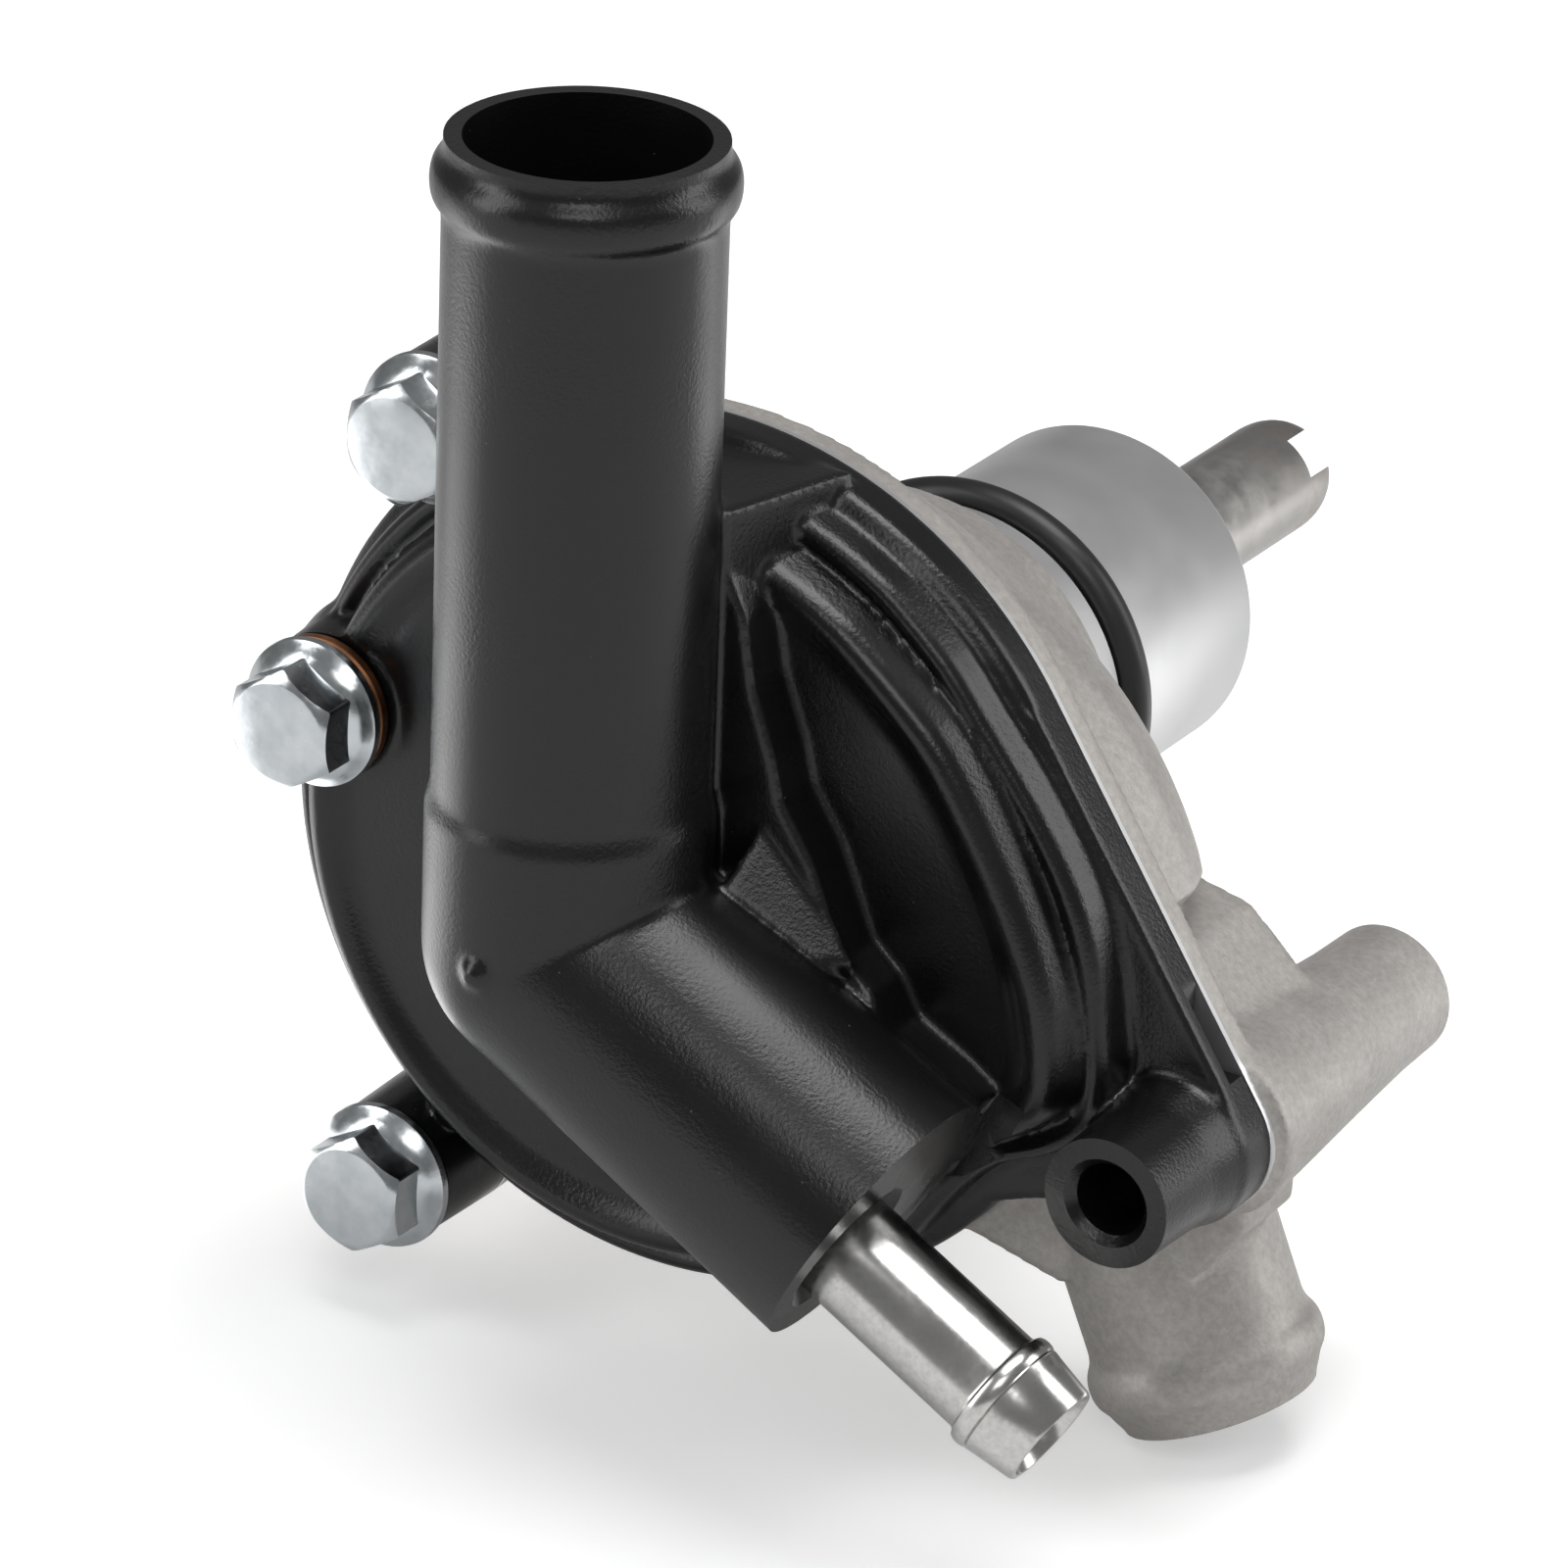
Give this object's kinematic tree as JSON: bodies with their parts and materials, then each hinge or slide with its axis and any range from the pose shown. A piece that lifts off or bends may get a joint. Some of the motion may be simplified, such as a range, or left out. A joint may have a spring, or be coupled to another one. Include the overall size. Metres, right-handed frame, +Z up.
{
  "type": "engine coolant pump",
  "caption": "Insert-type engine coolant pump: black cast cover with inlet pipe, elbow and bypass nipple, bare cast housing with outlet and snout, and a slotted drive shaft.",
  "frame": {"origin": "on the shaft axis, in the plane where the housing seats on the crankcase", "axes": "+Y along the shaft into the crankcase, +Z up along the inlet pipe, +X to the right seen from the cover"},
  "size_m": [0.0993, 0.142, 0.1222],
  "materials": {
    "black_paint": "satin black paint over a cast aluminium cover",
    "cast_alloy": "bare sand-grained casting, turned smooth on the snout",
    "dull_steel": "dull, lightly stained",
    "zinc": "bright bluish zinc plate",
    "polished_steel": "bright plated steel, slightly mottled",
    "rubber": "matt",
    "carbon": "fine-lapped carbon",
    "ceramic": "lapped ceramic",
    "copper": "browned soft copper",
    "brass": "satin bronze or brass"
  },
  "bodies": {
    "pump_body": {"cover": "black_paint", "housing": "cast_alloy", "bypass_nipple": "polished_steel", "cover_bolt_upper": "zinc", "cover_bolt_lower": "zinc", "drain_bolt": "zinc", "drain_washer": "copper", "cover_o_ring": "rubber", "snout_o_ring": "rubber", "dowel_upper": "dull_steel", "dowel_lower": "dull_steel", "seal_carbon_ring": "carbon", "seal_bellows": "rubber", "seal_case": "brass", "seal_spring": "polished_steel", "shaft_bush": "brass", "oil_seal": "rubber", "bearing_outer_race": "polished_steel", "bearing_circlip": "dull_steel"},
    "rotor": {"shaft": "dull_steel", "impeller": "dull_steel", "impeller_nut": "zinc", "seal_seat_cup": "rubber", "seal_seat": "ceramic", "bearing_inner_race": "polished_steel"},
    "ball_cage": {"bearing_cage": "brass", "bearing_ball_1": "polished_steel", "bearing_ball_2": "polished_steel", "bearing_ball_3": "polished_steel", "bearing_ball_4": "polished_steel", "bearing_ball_5": "polished_steel", "bearing_ball_6": "polished_steel", "bearing_ball_7": "polished_steel"}
  },
  "joints": [
    {"name": "rotor_spin", "type": "hinge", "parent": "pump_body", "child": "rotor", "pos_m": [0, 0, 0], "axis": [0, 1, 0], "continuous": true},
    {"name": "cage_spin", "type": "hinge", "parent": "pump_body", "child": "ball_cage", "pos_m": [0, 0, 0], "axis": [0, 1, 0], "continuous": true}
  ],
  "couplings": [
    {"joint": "cage_spin", "follows": "rotor_spin", "ratio": 0.3722}
  ]
}
